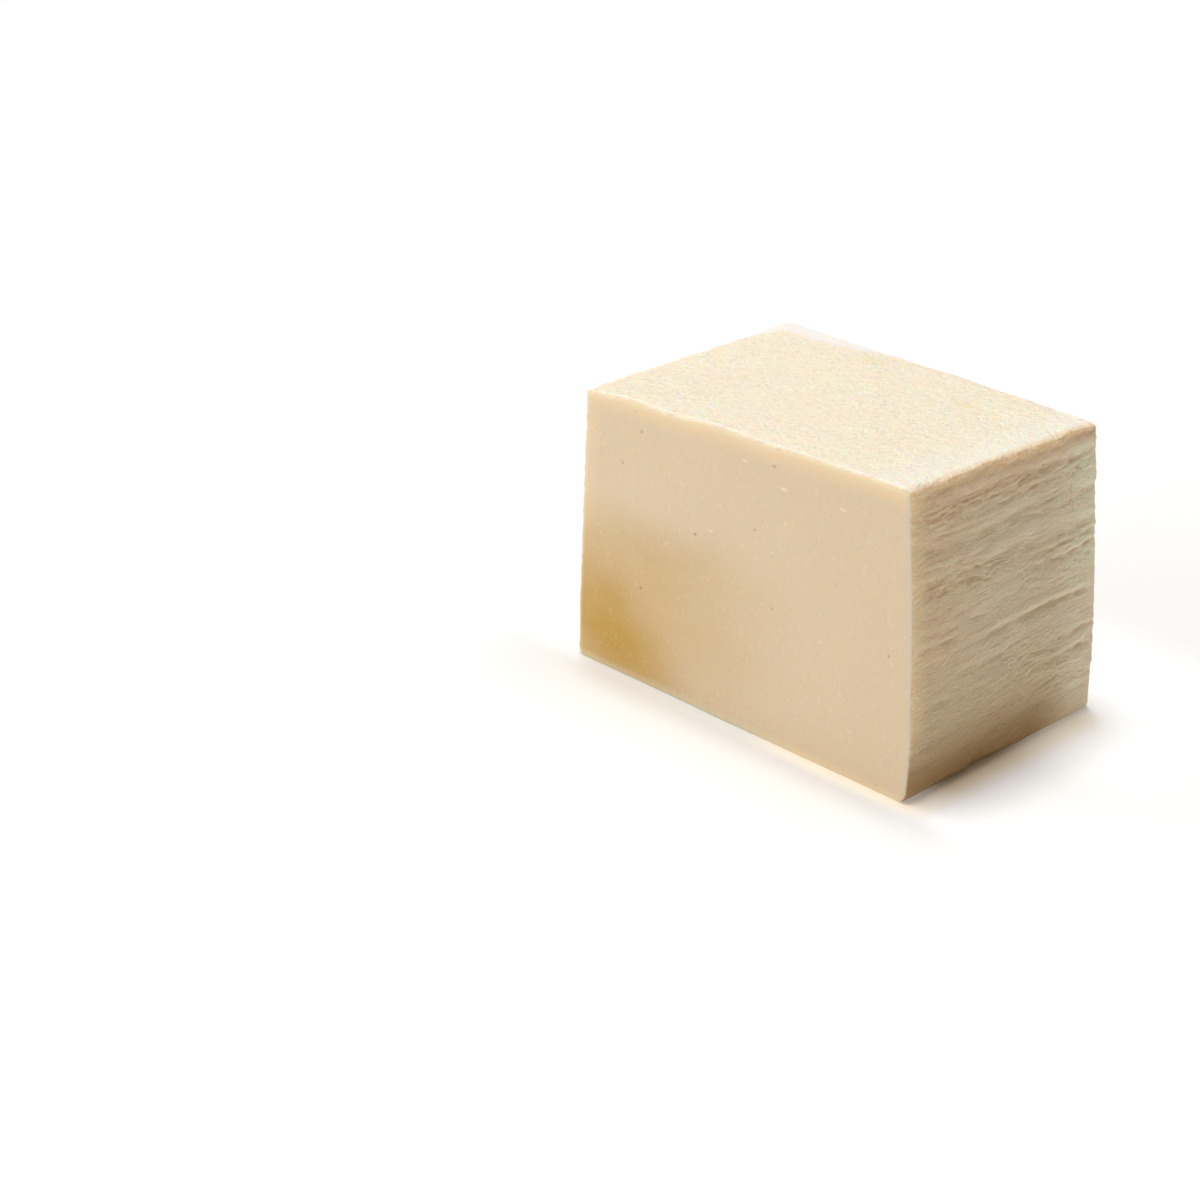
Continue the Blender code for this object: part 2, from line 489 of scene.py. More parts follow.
def shaped(plain, out, radius):
    """Where a point of the plain rounded box lies on the real block, and how far the relief lifts it."""
    plain = spread_foot(plain, out, radius)
    x, y, z = plain
    u, v, w = (plain[axis] / SIZE[axis] + 0.5 for axis in range(3))
    end = 1 if x > 0 else -1
    side = 1 if y > 0 else -1
    height = w * SIZE.z

    foot = between_edges(FOOT_INSETS, u, v)
    head = between_edges(HEAD_INSETS, u, v)
    edge = SIZE.z + head.z + top_rise(x, y, v)
    place = blend(foot, head, w)
    place.z = w * edge

    near_end = smooth_step(1.0 - (HALF.x - abs(x)) / BULGE_REACH)
    near_side = smooth_step(1.0 - (HALF.y - abs(y)) / BULGE_REACH)
    near_top = smooth_step(1.0 - (SIZE.z - height) / LIP_HEIGHT)
    place.x -= end * near_end * tuck(end, y, height, v)
    place.y += side * near_side * waves(CUT_WAVES, x, z, side)
    if end > 0:
        place.x += near_end * SWELL * math.sin(math.pi * w) ** 2
        place += lip_shift(x, y, height, edge, near_end, near_top)

    relief = abs(out.x) * (torn_relief(end, y, height) + near_top * waves(RAGGED, y, height, end))
    if end > 0 and out.x > FACING:
        relief += cuts_relief(y, height)
    if side < 0 and out.y < -FACING:
        relief += marks_relief(x, height)
    if height < FLAT_HEIGHT:
        relief = 0.0
    return place + out * relief + Vector((MIDDLE.x, MIDDLE.y, 0.0)), relief


# ----------------------------------------------------------------------------------------------------------
# Modelling


def edit(block):
    """Opens the block in edit mode with nothing selected and gives its mesh."""
    bpy.ops.object.select_all(action="DESELECT")
    block.select_set(True)
    bpy.context.view_layer.objects.active = block
    bpy.ops.object.mode_set(mode="EDIT")
    bpy.ops.mesh.select_mode(type="EDGE")
    bpy.ops.mesh.select_all(action="DESELECT")
    return bmesh.from_edit_mesh(block.data)


def leave_edit():
    bpy.ops.object.mode_set(mode="OBJECT")


def divide(block, axis, cuts, chosen):
    """Cuts the edges that run along an axis, and that are chosen by their two ends, into even lengths."""
    mesh = edit(block)
    for edge in mesh.edges:
        start, end = (vertex.co / MM for vertex in edge.verts)
        along = end - start
        straight = abs(along[axis]) > ALONG * along.length
        edge.select_set(straight and chosen(start, end))
    bmesh.update_edit_mesh(block.data)
    bpy.ops.mesh.subdivide(number_cuts=cuts)
    leave_edit()


def refine(block, chosen):
    """Splits the faces chosen by their middle into small ones."""
    mesh = edit(block)
    bpy.ops.mesh.select_mode(type="FACE")
    for face in mesh.faces:
        face.select_set(chosen(face.calc_center_median() / MM, face.normal))
    bmesh.update_edit_mesh(block.data)
    bpy.ops.mesh.subdivide(number_cuts=MARK_SPLIT)
    leave_edit()


def flatten_underside(block):
    """Joins the cells of the underside, inside its round edges, into one flat face."""
    mesh = edit(block)
    bpy.ops.mesh.select_mode(type="FACE")
    for face in mesh.faces:
        face.select_set(face.normal.z < -ALONG)
    bmesh.update_edit_mesh(block.data)
    bpy.ops.mesh.dissolve_faces(use_verts=True)
    leave_edit()


def plain_block(radius):
    """A rounded box of the frame's size, centred on the origin, with its faces divided for shaping."""
    bpy.ops.object.select_all(action="DESELECT")
    bpy.ops.mesh.primitive_cube_add(size=1.0, scale=SIZE * MM)
    block = bpy.context.active_object
    bpy.ops.object.transform_apply(location=False, rotation=False, scale=True)
    block.name = PIECE
    block.data.name = PIECE

    edit(block)
    bpy.ops.mesh.select_all(action="SELECT")
    bpy.ops.mesh.bevel(offset=radius * MM, segments=EDGE_SEGMENTS, profile=0.5, affect="EDGES")
    leave_edit()

    # Only the edges between the rounded ones are longer than these are wide.
    for axis in range(3):
        divide(block, axis, int(CELLS[axis]) - 1, lambda start, end: (end - start).length > 2.0 * radius)
    flatten_underside(block)
    # The cells of the ends, and of the round edges beside them, are cut lower.
    near_end = HALF.x - 1.01 * radius
    divide(block, 2, END_SPLIT - 1, lambda start, end: abs(start.x) > near_end and abs(end.x) > near_end)
    refine(block, near_mark)
    return block


def near_mark(middle, normal):
    """Whether a face of the front lies close to one of its marks."""
    if normal.y > -ALONG:
        return False
    for at, height, *_ in FRONT_NICKS + FRONT_PINHOLES:
        if abs(middle.x - at) < MARK_REACH and abs(middle.z + HALF.z - height) < MARK_REACH:
            return True
    return False


def shape_block(block, radius):
    """Moves every point of the plain box to its place, and keeps what the material follows."""
    mesh = block.data
    kept = {"plain": [], "facing": [], "relief": []}
    for vertex in mesh.vertices:
        start = vertex.co / MM
        out = outward(start, radius)
        place, lift = shaped(start, out, radius)
        vertex.co = place * MM
        kept["plain"].extend((start.x, start.y, start.z + HALF.z))
        kept["facing"].extend(out)
        kept["relief"].append(lift)
    mesh.update()
    for name, numbers in kept.items():
        kind, field = ("FLOAT", "value") if name == "relief" else ("FLOAT_VECTOR", "vector")
        attribute = mesh.attributes.new(name, kind, "POINT")
        attribute.data.foreach_set(field, numbers)


# ----------------------------------------------------------------------------------------------------------
# Materials


class Value:
    """A number from a node. Python's arithmetic on it adds the Math nodes that do the same."""

    def __init__(self, finish, socket):
        self.finish = finish
        self.socket = socket

    def maths(self, operation, *operands):
        sockets = dict(zip(("Value", "Value_001", "Value_002"), operands))
        return self.finish.value("ShaderNodeMath", {"operation": operation}, sockets)

    def __add__(self, other):
        return self.maths("ADD", self, other)

    def __sub__(self, other):
        return self.maths("SUBTRACT", self, other)

    def __rsub__(self, other):
        return self.maths("SUBTRACT", other, self)

    def __mul__(self, other):
        return self.maths("MULTIPLY", self, other)

    def __truediv__(self, other):
        return self.maths("DIVIDE", self, other)

    def __pow__(self, power):
        return self.maths("POWER", self, power)

    def __neg__(self):
        return self.maths("SUBTRACT", 0.0, self)

    def __abs__(self):
        return self.maths("ABSOLUTE", self)

    __radd__ = __add__
    __rmul__ = __mul__

    def minimum(self, other):
        return self.maths("MINIMUM", self, other)

    def maximum(self, other):
        return self.maths("MAXIMUM", self, other)

    def between(self, low, high):
        """From 0 at low to 1 at high, with a soft start and end."""
        settings = {"interpolation_type": "SMOOTHSTEP"}
        sockets = {"Value": self, "From Min": low, "From Max": high}
        return self.finish.value("ShaderNodeMapRange", settings, sockets)

    def until(self, low, high):
        """From 1 at low to 0 at high, with a soft start and end."""
        return 1.0 - self.between(low, high)


class Finish:
    """A material and the nodes that are added to it."""

    def __init__(self, name):
        self.material = bpy.data.materials.new(name)
        self.material.use_nodes = True
        self.tree = self.material.node_tree
        self.surface = self.tree.nodes["Principled BSDF"]

    def node(self, kind, settings, sockets, output=None):
        """Adds a node, sets it up, fills its sockets with numbers or links, and gives one of its outputs."""
        node = self.tree.nodes.new(kind)
        for name, setting in settings.items():
            setattr(node, name, setting)
        self.fill(node, sockets)
        if output is None:
            return node.outputs[0]
        return next(socket for socket in node.outputs if socket.identifier == output)

    def value(self, kind, settings, sockets, output=None):
        return Value(self, self.node(kind, settings, sockets, output))

    def fill(self, node, sockets):
        for identifier, content in sockets.items():
            socket = next(socket for socket in node.inputs if socket.identifier == identifier)
            if isinstance(content, Value):
                content = content.socket
            if isinstance(content, bpy.types.NodeSocket):
                self.tree.links.new(content, socket)
            else:
                socket.default_value = content

    def attribute(self, name, output):
        return self.node("ShaderNodeAttribute", {"attribute_name": name}, {}, output)

    def place(self):
        """Where a point of the object lies, in millimetres."""
        where = self.node("ShaderNodeTexCoord", {}, {}, "Object")
        return self.node("ShaderNodeVectorMath", {"operation": "SCALE"}, {"Vector": where, "Scale": 1.0 / MM})

    def parts(self, vector):
        """The X, Y and Z of a vector."""
        split = self.tree.nodes.new("ShaderNodeSeparateXYZ")
        self.fill(split, {"Vector": vector})
        return [Value(self, socket) for socket in split.outputs]

    def joined(self, x, y, z):
        return self.node("ShaderNodeCombineXYZ", {}, {"X": x, "Y": y, "Z": z})

    def stretched(self, vector, sizes):
        """A vector divided by three sizes, so that a pattern of unit size gets those sizes."""
        shares = tuple(1.0 / size for size in sizes)
        sockets = {"Vector": vector, "Vector_001": shares}
        return self.node("ShaderNodeVectorMath", {"operation": "MULTIPLY"}, sockets)

    def blotches(self, vector, sizes, detail=2.0, roughness=0.5, distortion=0.0):
        """Soft blotches of three sizes, from -1 to 1."""
        sockets = {
            "Vector": self.stretched(vector, sizes),
            "Scale": 1.0,
            "Detail": detail,
            "Roughness": roughness,
            "Distortion": distortion,
        }
        return self.value("ShaderNodeTexNoise", {}, sockets) * 2.0 - 1.0

    def cells(self, vector, size):
        """How far a place lies from the nearest of many points that are strewn about a size apart."""
        vector = self.stretched(vector, (size, size, size))
        return self.value("ShaderNodeTexVoronoi", {"feature": "F1"}, {"Vector": vector, "Scale": 1.0})

    def mixed(self, low, high, share):
        """One colour going over to another."""
        settings = {"data_type": "RGBA", "clamp_factor": True}
        sockets = {"Factor_Float": share, "A_Color": low, "B_Color": high}
        return self.node("ShaderNodeMix", settings, sockets, "Result_Color")

    def bumped(self, height, distance):
        """A normal with the height, in millimetres, worked into it."""
        sockets = {"Strength": 1.0, "Distance": distance, "Height": height}
        return self.node("ShaderNodeBump", {}, sockets)


def colour(red, green, blue):
    return (red, green, blue, 1.0)


# Colours of the curd.
CUT_COLOUR = colour(0.797, 0.642, 0.449)
# The top is paler than the cuts: partly the top's own paler skin, partly painted light for the brightly lit
# top.
TOP_COLOUR = colour(0.955, 0.80, 0.62)
# Painted shade in the furrows of the top's wrinkles.
FURROW_SHADE_COLOUR = colour(0.82, 0.672, 0.50)
TORN_COLOUR = colour(0.84, 0.68, 0.455)
GOLDEN_COLOUR = colour(0.86, 0.65, 0.35)
# Painted shade over the light that the rounded top edges catch.
EDGE_SHADE_COLOUR = colour(0.76, 0.635, 0.465)
# Painted glow of light scattered through the curd, in bands along the top and left edges of the cuts.
EDGE_GLOW_COLOUR = colour(0.88, 0.70, 0.455)
# Painted light at the very brink of the cuts' top and left edges.
BRINK_LIGHT_COLOUR = colour(0.85, 0.76, 0.53)
# Painted shade, warm from light scattered in the curd, along and under the torn lip of the ends.
LIP_SHADE_COLOUR = colour(0.72, 0.52, 0.30)
# Golden crumbs near the front of the ends, partly a painted glow of light scattered through the front corner.
CRUMB_AND_GLOW_COLOUR = colour(0.94, 0.76, 0.44)
FOOT_COLOUR = colour(0.90, 0.745, 0.50)
# Painted shade in the crevices of the torn ends.
CREVICE_SHADE_COLOUR = colour(0.66, 0.44, 0.20)
# Painted light on the crests of the torn ends.
CREST_LIGHT_COLOUR = colour(0.89, 0.79, 0.60)
# Painted shade with warm bounced light, for the patch low on the left of the front.
SHADE_PATCH_COLOUR = colour(0.61, 0.37, 0.073)
PINK_COLOUR = colour(0.84, 0.64, 0.46)
GREEN_COLOUR = colour(0.76, 0.70, 0.50)
# Painted shade in the pinholes.
PINHOLE_SHADE_COLOUR = colour(0.50, 0.31, 0.16)
CREAM_COLOUR = colour(0.93, 0.81, 0.575)
# Painted sheen, greyish, on the rounded upright edges.
EDGE_SHEEN_COLOUR = colour(0.74, 0.655, 0.50)
# Painted highlight: glints on the top, its front rim and the raised nicks of the front.
HIGHLIGHT_COLOUR = colour(1.0, 0.965, 0.87)
# The top grows paler towards its right end.
PALER_RIGHT_COLOUR = colour(1.0, 0.86, 0.73)
# Painted glow of light scattered through the curd near the front and top of the ends.
SCATTER_GLOW_COLOUR = colour(0.87, 0.61, 0.37)
# Painted light, lighter towards the back of the ends.
PAINTED_LIGHT_COLOUR = colour(1.0, 0.85, 0.61)
# Painted shade, darkest at the foot of the torn ends.
FOOT_SHADE_COLOUR = colour(0.39, 0.20, 0.045)
# Painted shade, lower down the torn ends.
LOW_SHADE_COLOUR = colour(0.77, 0.61, 0.38)
YELLOW_COLOUR = colour(0.90, 0.74, 0.36)
FRINGE_COLOUR = colour(0.895, 0.823, 0.776)

# Colours of the floor.
# Painted shade on the floor in front of the block.
DIM_SHADE_COLOUR = colour(0.77, 0.755, 0.73)
WARM_SHADE_COLOUR = colour(0.83, 0.69, 0.49)
FLOOR_GLOW_COLOUR = colour(0.3, 0.3, 0.3)


def oval(across, up, middle, height, half_width, half_height):
    """1 at a place of a face, fading to 0 over an oval round it."""
    first = (across - middle) / half_width
    second = (up - height) / half_height
    return ((first * first + second * second) ** 0.5).until(0.0, 1.0)


class Curd:
    """The block's surface: where a point lies, which way it looks, its noise, its colours and its relief."""

    def __init__(self, finish):
        self.finish = finish
        self.where = finish.place()
        self.x, self.y, self.z = finish.parts(finish.attribute("plain", "Vector"))
        self.out_x, self.out_y, self.out_z = finish.parts(finish.attribute("facing", "Vector"))
        self.relief = Value(finish, finish.attribute("relief", "Fac"))

        self.on_top = self.out_z.between(0.4, 0.9)
        self.on_end = abs(self.out_x).between(0.35, 0.85)
        self.on_cut = abs(self.out_y).between(0.35, 0.85)
        self.on_front = (-self.out_y).between(0.35, 0.85)
        self.top_edge = self.out_z.between(0.1, 0.4) * self.out_z.until(0.9, 1.0)
        self.upright_edge = self.out_z.until(0.1, 0.3) * self.on_cut * abs(self.out_x).between(0.05, 0.4)

        self.from_left = self.x + HALF.x
        self.from_right = HALF.x - self.x
        self.from_front = self.y + HALF.y
        self.from_back = HALF.y - self.y
        self.from_top = SIZE.z - self.z

        self.mottle = self.blotches((16.0, 16.0, 12.0), detail=3.0)
        self.specks = self.blotches((1.1, 1.1, 1.1), roughness=0.6)
        self.wrinkles = self.blotches((1.25, 1.25, 1.25), detail=3.0, roughness=0.55, distortion=0.4)
        self.streaks = self.blotches((6.0, 20.0, 2.0), detail=3.0)
        self.fibres = self.torn_fibres()
        # Pinholes, which the colour darkens with painted shade and the relief sinks.
        self.pores = (0.055 - finish.cells(self.where, 4.0)).between(0.0, 0.04)
        self.flecks = (0.13 - finish.cells(self.where, 2.7)).between(0.0, 0.07) * self.specks.between(-0.2, 0.2)
        # Painted glints along the creases of the top.
        creases = abs(self.blotches((1.7, 1.7, 1.7), distortion=0.8))
        self.glints = creases.until(0.0, 0.14) * self.specks.between(-0.2, 0.35)
        self.fringe = self.pale_corner_fringe()

    def blotches(self, sizes, **character):
        return self.finish.blotches(self.where, sizes, **character)

    def tinted(self, base, *tints):
        """A colour with tints laid over it one by one, each with its share."""
        for tint, share in tints:
            base = self.finish.mixed(base, tint, share)
        return base

    def torn_fibres(self):
        """The finest fibres of the torn ends, which rise towards the back in wavy strokes, from -1 to 1."""
        wave = self.blotches((9.0, 9.0, 6.0), detail=1.0)
        x, y, z = self.finish.parts(self.where)
        slanted = self.finish.joined(x, y + wave * 2.0, z - y * 0.16 + wave * 1.6)
        long_fibres = self.finish.blotches(slanted, (0.9, 2.4, 0.45), roughness=0.6)
        short_fibres = self.finish.blotches(slanted, (0.6, 0.9, 0.36), roughness=0.65)
        return long_fibres * 0.6 + short_fibres * 0.7

    def pale_corner_fringe(self):
        """A pale grey band along the back left corner of the top."""
        ragged = self.blotches((3.0, 3.0, 3.0)) * 0.6 + 0.5
        along_back = self.from_back + ragged - self.x.until(-32.0, -5.0) * 5.4
        along_left = self.from_left + ragged - self.y.between(12.0, 31.0) * 6.0
        return along_back.minimum(along_left).until(-0.3, 0.3)

    def painted_shade_patch(self):
        """Painted shade with warm bounced light, low on the left of the front: deep near the corner and broad
        round it.
        """
        uneven = self.blotches((9.0, 9.0, 5.0))
        spread = self.blotches((14.0, 14.0, 10.0)) * 1.4
        slanted = self.z + spread + (self.x + 42.0) * 0.45
        deep = oval(self.x, slanted, middle=-42.0, height=11.0, half_width=38.0, half_height=23.0)
        broad = (self.x + self.z.until(2.0, 16.0) * 12.0).until(-28.0, 24.0)
        broad = broad * (self.z + spread).until(29.0, 42.0) * (0.7 + self.x.between(-42.0, -33.0) * 0.3)
        return (deep * 0.64 + broad * 0.46) * (1.0 + uneven * 0.18) * self.on_front

    def top_colour(self):
        """The moist top: painted glints and painted shade in the furrows, paler towards the right, with a
        painted highlight along the front rim.
        """
        # Painted highlight along the wet front rim of the top.
        rim_highlight = self.from_front.until(0.3, 1.5 + self.wrinkles * 2.0)
        right_spot = oval(self.x, self.y, middle=20.5, height=16.5, half_width=4.0, half_height=2.6)
        left_spot = oval(self.x, self.y, middle=-13.0, height=23.0, half_width=5.0, half_height=2.8)
        return self.tinted(
            TOP_COLOUR,
            # painted glints on the crests of the wrinkles
            (HIGHLIGHT_COLOUR, self.glints * 0.9),
            # painted shade in the furrows
            (FURROW_SHADE_COLOUR, (-self.wrinkles).between(0.0, 0.6) * 0.8),
            # paler towards the right end
            (PALER_RIGHT_COLOUR, self.from_right.until(3.0, 18.0) * 0.8),
            # painted highlight along the front rim
            (HIGHLIGHT_COLOUR, rim_highlight * 0.7),
            # painted shade along the torn lip at the right edge
            (LIP_SHADE_COLOUR, self.from_right.until(0.3, 2.6) * 0.55),
            (YELLOW_COLOUR, right_spot * 0.45),
            (YELLOW_COLOUR, left_spot * 0.5),
            (FRINGE_COLOUR, self.fringe),
        )

    def cut_colour(self):
        """The smooth cuts: a faint mottle under a patch of painted shade, with painted glow along the edges, a
        painted sheen beside the right edge, painted highlights on the raised marks and painted shade in the
        pinholes.
        """
        painted_shade_patch = self.painted_shade_patch()
        specks = self.specks.between(0.1, 0.7) * 0.5 + self.flecks * 0.18
        # Painted light at the brink of the top and left edges.
        lit_brink = self.from_top.until(0.2, 2.0).maximum(self.from_left.until(0.2, 1.6))
        return self.tinted(
            CUT_COLOUR,
            (PINK_COLOUR, self.mottle.between(0.0, 0.6) * 0.3),
            (GREEN_COLOUR, (-self.mottle).between(0.0, 0.6) * 0.2),
            # painted glow along the left edge
            (EDGE_GLOW_COLOUR, self.from_left.until(1.0, 6.0) * 0.8),
            # painted shade with warm bounced light, low on the left of the front
            (SHADE_PATCH_COLOUR, painted_shade_patch),
            (CREAM_COLOUR, specks * (1.0 - painted_shade_patch)),
            (GOLDEN_COLOUR, (-self.specks).between(0.1, 0.7) * 0.4),
            # painted glow along the top edge, paler right at the brink
            (EDGE_GLOW_COLOUR, self.from_top.until(1.2, 4.8)),
            (BRINK_LIGHT_COLOUR, lit_brink * 0.8),
            (FOOT_COLOUR, self.z.until(0.3, 2.2) * 0.6),
            # painted sheen on the front beside its rounded right edge
            (EDGE_SHEEN_COLOUR, self.from_right.until(0.9, 1.6) * 0.9),
            # painted highlights on the raised nicks and blisters, painted shade in the pinholes
            (HIGHLIGHT_COLOUR, self.relief.between(0.02, 0.24) * 0.4),
            (PINHOLE_SHADE_COLOUR, (-self.relief).between(0.06, 0.30) * 0.5),
        )

    def torn_colour(self):
        """The torn ends: a painted glow near the front and top, painted light towards the back and on crests,
        painted shade in crevices, under the lip and, over the front part, towards the foot.
        """
        # Painted light: the ends are painted lighter towards the back, more so higher up.
        light = self.from_back.until(2.0, 18.0) * (0.5 + self.z.between(20.0, 40.0) * 0.5)
        # Painted light on the crests and fibres that stand out.
        lit_crests = self.relief.between(0.0, 0.5) * 0.4 + self.fibres.between(0.1, 0.7) * 0.35
        # Painted shade lies over the front part of each end and fades out towards the back.
        shaded_front_part = self.y.until(8.0, 24.0)
        # Golden crumbs along the front of each end, partly a painted glow of light coming through the front
        # corner.
        crumbs_and_glow = self.from_front.until(1.0, 5.5) * self.z.between(6.0, 20.0)
        return self.tinted(
            TORN_COLOUR,
            (PINK_COLOUR, self.streaks.between(0.0, 0.5) * 0.4),
            (GREEN_COLOUR, (-self.streaks).between(0.0, 0.5) * 0.2),
            # painted glow: light scattered through the curd near the front and the top
            (SCATTER_GLOW_COLOUR, self.from_front.until(4.0, 26.0) * 0.55),
            (SCATTER_GLOW_COLOUR, self.from_top.until(3.0, 12.0) * 0.5),
            (PAINTED_LIGHT_COLOUR, light),
            (CREST_LIGHT_COLOUR, lit_crests),
            # painted shade in the crevices and between the fibres
            (CREVICE_SHADE_COLOUR, (-self.relief).between(0.02, 0.5) * 0.65),
            (CREVICE_SHADE_COLOUR, (-self.fibres).between(0.1, 0.7) * 0.45),
            # painted shade under the torn lip
            (LIP_SHADE_COLOUR, self.from_top.until(1.0, 3.8) * 0.85),
            # painted shade: darker low on the ends and darkest at the foot
            (LOW_SHADE_COLOUR, self.z.until(14.0, 30.0) * shaded_front_part),
            (FOOT_SHADE_COLOUR, self.z.until(1.0, 17.0) * shaded_front_part * 0.78),
            (CRUMB_AND_GLOW_COLOUR, crumbs_and_glow * 0.75),
        )

    def block_colour(self):
        """The colours of all faces, joined over the edges, with painted shade along the rounded top edges and
        painted sheen on the upright ones.
        """
        return self.tinted(
            self.cut_colour(),
            (self.top_colour(), self.on_top),
            (self.torn_colour(), self.on_end),
            # painted shade on the rounded top edges
            (EDGE_SHADE_COLOUR, self.top_edge * 0.85 * (1.0 - self.fringe)),
            # painted shade over the edges towards the ends
            (LIP_SHADE_COLOUR, self.top_edge * self.out_x.between(0.1, 0.5) * 0.9),
            (FRINGE_COLOUR, self.top_edge * self.fringe),
            # painted sheen on the rounded upright edges
            (EDGE_SHEEN_COLOUR, self.upright_edge),
            # painted shade in the pinholes strewn over the cuts and ends
            (PINHOLE_SHADE_COLOUR, self.pores * (1.0 - self.on_top) * 0.7),
        )

    def height(self):
        """The finest relief of each face, in millimetres."""
        top = (self.wrinkles * 0.38 + self.glints * 0.15) * self.on_top * (1.0 - self.fringe * 0.8)
        cut = (self.specks * 0.07 + self.flecks * 0.06) * self.on_cut
        return top + self.fibres * self.on_end * 0.37 + cut - self.pores * 0.1


def tofu_finish(settings):
    """Moist curd, which light enters."""
    finish = Finish("moist_tofu")
    curd = Curd(finish)
    wet = curd.blotches((5.0, 5.0, 3.0))
    finish.fill(finish.surface, {
        "Base Color": curd.block_colour(),
        "Roughness": 0.42 + wet * 0.06 - curd.on_top * 0.1 + curd.top_edge * 0.35,
        "Normal": finish.bumped(curd.height(), MM),
        "Subsurface Weight": 1.0,
        "Subsurface Radius": (1.0, 0.62, 0.34),
        "Subsurface Scale": settings.light_reach,
        "IOR": 1.4,
    })
    return finish.material


def floor_finish(settings):
    """A pale floor with painted shade close to the block, dimmed in front and tinted warm at its right, and
    painted light beside its foot; it glows a little away from the block.
    """
    finish = Finish("pale_floor")
    x, y, _ = finish.parts(finish.place())
    beside_x = (abs(x) - HALF.x).maximum(0.0)
    beside_y = (abs(y) - HALF.y).maximum(0.0)
    away = (beside_x * beside_x + beside_y * beside_y) ** 0.5

    in_front = y.until(-35.0, -29.0)
    at_right = (1.0 - in_front) * x.between(0.0, 20.0)
    # Painted shade: a warm tint close to the right foot.
    shaded = away.until(0.0, 8.0) * at_right * y.until(19.0, 28.0)
    # Painted light near the front right corner.
    near_corner = away.until(1.0, 6.0) * at_right * y.until(-26.0, -17.0)
    # Painted light lifting the shade beside the right side, towards its front and back.
    past_ends = abs(y + 10.0).between(4.0, 26.0) * away.until(6.0, 40.0) * at_right
    # Painted reflection of a wet film just in front of the foot.
    wet = away.until(0.0, 4.0) * in_front
    # Painted shade: the floor is dimmed in front of the block.
    dim_shade = away.until(5.0, 35.0) * in_front * (1.0 - x.between(30.0, 55.0) * 0.7)
    close_glow = past_ends * 0.55 + wet * 0.35 + near_corner * 0.3
    glow = away.between(0.0, 30.0) * 0.15 + close_glow + away.between(60.0, 800.0) * 0.8

    ground = finish.mixed(colour(*settings.floor_colour), DIM_SHADE_COLOUR, dim_shade * 0.9)
    finish.fill(finish.surface, {
        "Base Color": finish.mixed(ground, WARM_SHADE_COLOUR, shaded * 0.95),
        "Roughness": 0.7,
        "Emission Color": finish.mixed(colour(0.0, 0.0, 0.0), FLOOR_GLOW_COLOUR, glow),
        "Emission Strength": 1.0,
    })
    return finish.material


# ----------------------------------------------------------------------------------------------------------
# Studio

LENS = 66.0
CAMERA_PLACE = Vector((283.8, -301.1, 202.1))
CAMERA_YAW = -49.97
CAMERA_PITCH = 23.96
CAMERA_ROLL = 2.02

FLOOR_SIDE = 6000.0

# The soft lights: name, place, side, the setting that gives its power, and tint.
LIGHTS = (
    ("overhead_light", (-230.0, 60.0, 2000.0), 700.0, "overhead_power", (1.0, 1.0, 1.0)),
    ("front_left_light", (-600.0, -925.0, 490.0), 870.0, "front_power", (1.0, 0.97, 0.93)),
)
LIGHT_TARGET = Vector((0.0, 0.0, 30.0))


def add_camera():
    """Looks down at the front right edge of the block."""
    yaw, pitch, roll = (math.radians(angle) for angle in (CAMERA_YAW, CAMERA_PITCH, CAMERA_ROLL))
    forward = Vector((math.sin(yaw) * math.cos(pitch), math.cos(yaw) * math.cos(pitch), -math.sin(pitch)))
    right = Vector((math.cos(yaw), -math.sin(yaw), 0.0))
    down = forward.cross(right)
    across = right * math.cos(roll) + down * math.sin(roll)
    up = right * math.sin(roll) - down * math.cos(roll)
    turned = Matrix((across, up, -forward)).transposed().to_4x4()
    bpy.ops.object.camera_add()
    camera = bpy.context.active_object
    camera.matrix_world = Matrix.Translation(CAMERA_PLACE * MM) @ turned
    camera.data.lens = LENS
    camera.data.clip_end = 100.0
    bpy.context.scene.camera = camera


def add_soft_light(name, place, side, power, tint):
    bpy.ops.object.light_add(type="AREA", location=Vector(place) * MM)
    light = bpy.context.active_object
    light.name = name
    light.rotation_euler = (LIGHT_TARGET - Vector(place)).to_track_quat("-Z", "Y").to_euler()
    light.data.shape = "SQUARE"
    light.data.size = side * MM
    light.data.energy = power
    light.data.color = tint


def add_world(settings):
    world = bpy.data.worlds.new("studio")
    world.use_nodes = True
    tree = world.node_tree
    background = tree.nodes["Background"]
    background.inputs["Color"].default_value = colour(*settings.air_colour)
    background.inputs["Strength"].default_value = settings.air_strength
    bpy.context.scene.world = world


# ----------------------------------------------------------------------------------------------------------
# Settings, operators and panel


class TofuBlockSettings(bpy.types.PropertyGroup):
    edge_radius: bpy.props.FloatProperty(
        name="Edge Radius",
        description="How round the edges of the block are",
        default=0.75 * MM,
        min=0.2 * MM,
        max=4.0 * MM,
        unit="LENGTH",
    )
    light_reach: bpy.props.FloatProperty(
        name="Light Reach",
        description="How far red light travels inside the curd",
        default=1.8 * MM,
        min=0.1 * MM,
        unit="LENGTH",
    )


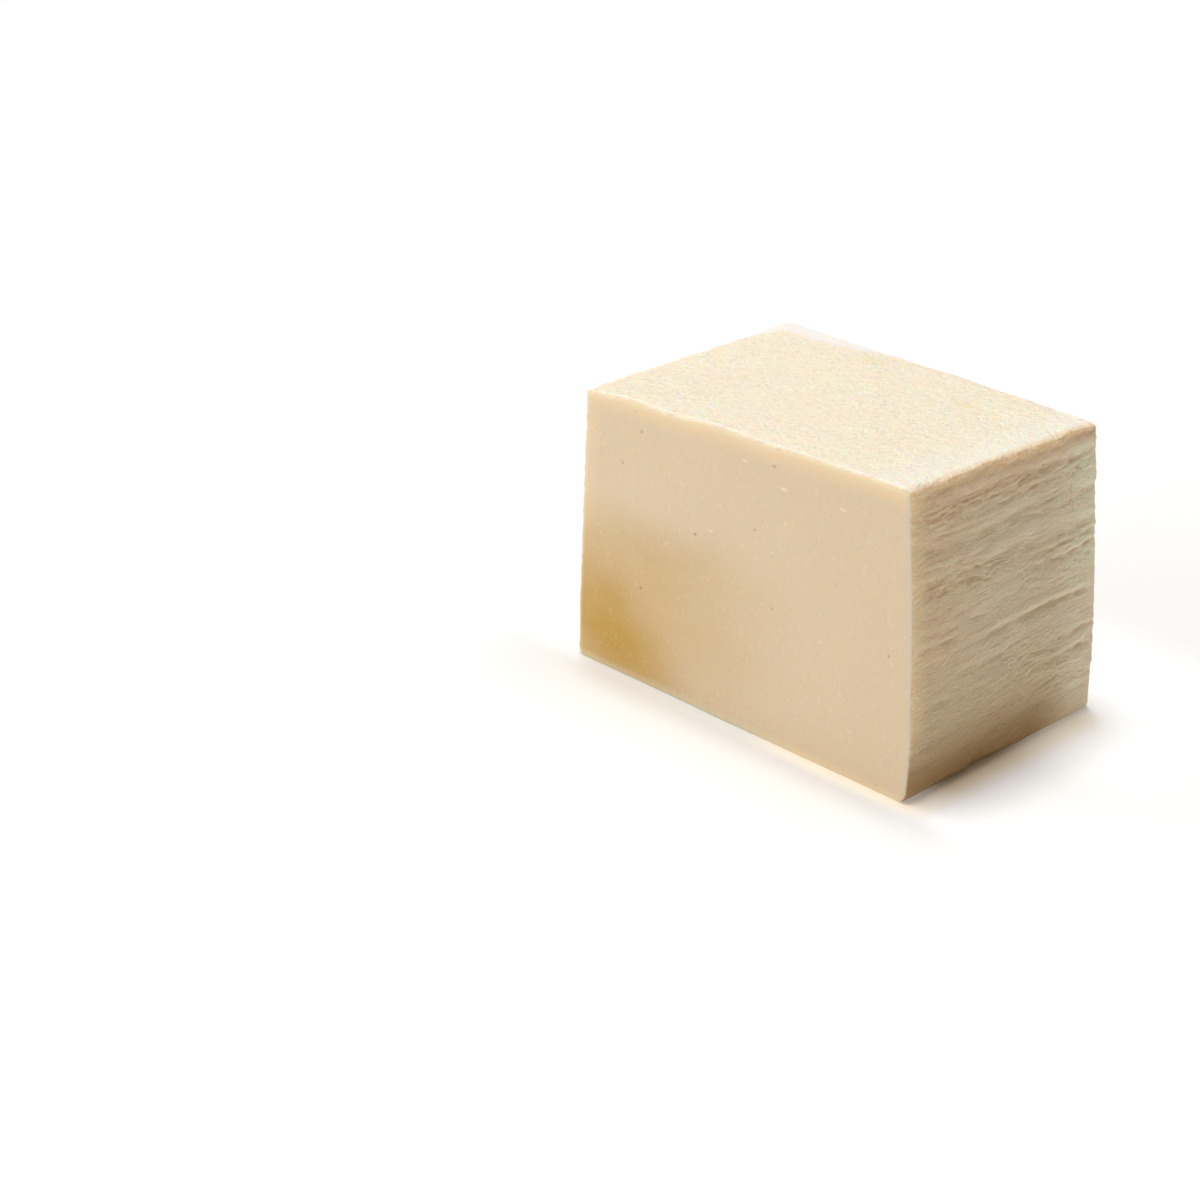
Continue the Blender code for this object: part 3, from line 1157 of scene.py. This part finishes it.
class TofuStageSettings(bpy.types.PropertyGroup):
    floor_colour: bpy.props.FloatVectorProperty(
        name="Floor",
        description="Colour of the floor",
        subtype="COLOR",
        default=(0.85, 0.848, 0.845),
        min=0.0,
        max=1.0,
    )
    air_colour: bpy.props.FloatVectorProperty(
        name="Air",
        description="Colour of the light from all round",
        subtype="COLOR",
        default=(1.0, 0.99, 0.98),
        min=0.0,
        max=1.0,
    )
    air_strength: bpy.props.FloatProperty(
        name="Air Strength",
        description="Strength of the light from all round",
        default=0.235,
        min=0.0,
    )
    overhead_power: bpy.props.FloatProperty(
        name="Overhead",
        description="Power of the soft light overhead",
        default=35.0,
        min=0.0,
        unit="POWER",
    )
    front_power: bpy.props.FloatProperty(
        name="Front Left",
        description="Power of the soft light at the front left",
        default=4.95,
        min=0.0,
        unit="POWER",
    )


class TOFU_OT_block(bpy.types.Operator):
    """Models the block of tofu over its solid and gives it its finish"""

    bl_idname = "tofu.block"
    bl_label = "Tofu Block"

    def execute(self, context):
        settings = context.scene.tofu_block
        radius = settings.edge_radius / MM
        block = plain_block(radius)
        shape_block(block, radius)
        bpy.ops.object.shade_smooth()
        block.data.materials.append(tofu_finish(settings))
        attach(block, "root")
        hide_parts(NODE)
        return {"FINISHED"}


class TOFU_OT_stage(bpy.types.Operator):
    """Adds the pale floor, the soft lights and the camera"""

    bl_idname = "tofu.stage"
    bl_label = "Stage"

    def execute(self, context):
        settings = context.scene.tofu_stage
        bpy.ops.object.select_all(action="DESELECT")
        bpy.ops.mesh.primitive_plane_add(size=FLOOR_SIDE * MM)
        floor = context.active_object
        floor.name = "floor"
        floor.data.materials.append(floor_finish(settings))
        for name, place, side, power, tint in LIGHTS:
            add_soft_light(name, place, side, getattr(settings, power), tint)
        add_world(settings)
        add_camera()
        context.scene.view_settings.view_transform = "Standard"
        return {"FINISHED"}


class TOFU_PT_panel(bpy.types.Panel):
    """Lists the block and its stage"""

    bl_idname = "TOFU_PT_panel"
    bl_label = "Tofu Block"
    bl_space_type = "VIEW_3D"
    bl_region_type = "UI"
    bl_category = "Tofu"

    def draw(self, context):
        scene = context.scene
        for operator, settings in ((TOFU_OT_block, scene.tofu_block), (TOFU_OT_stage, scene.tofu_stage)):
            box = self.layout.box()
            box.operator(operator.bl_idname)
            for name in settings.bl_rna.properties.keys():
                if name not in {"rna_type", "name"}:
                    box.prop(settings, name)


CLASSES = (TofuBlockSettings, TofuStageSettings, TOFU_OT_block, TOFU_OT_stage, TOFU_PT_panel)


def register():
    for kind in CLASSES:
        bpy.utils.register_class(kind)
    bpy.types.Scene.tofu_block = bpy.props.PointerProperty(type=TofuBlockSettings)
    bpy.types.Scene.tofu_stage = bpy.props.PointerProperty(type=TofuStageSettings)


def unregister():
    del bpy.types.Scene.tofu_stage
    del bpy.types.Scene.tofu_block
    for kind in reversed(CLASSES):
        bpy.utils.unregister_class(kind)


def main():
    register()
    bpy.ops.tofu.block()
    bpy.ops.tofu.stage()


if __name__ == "__main__":
    main()
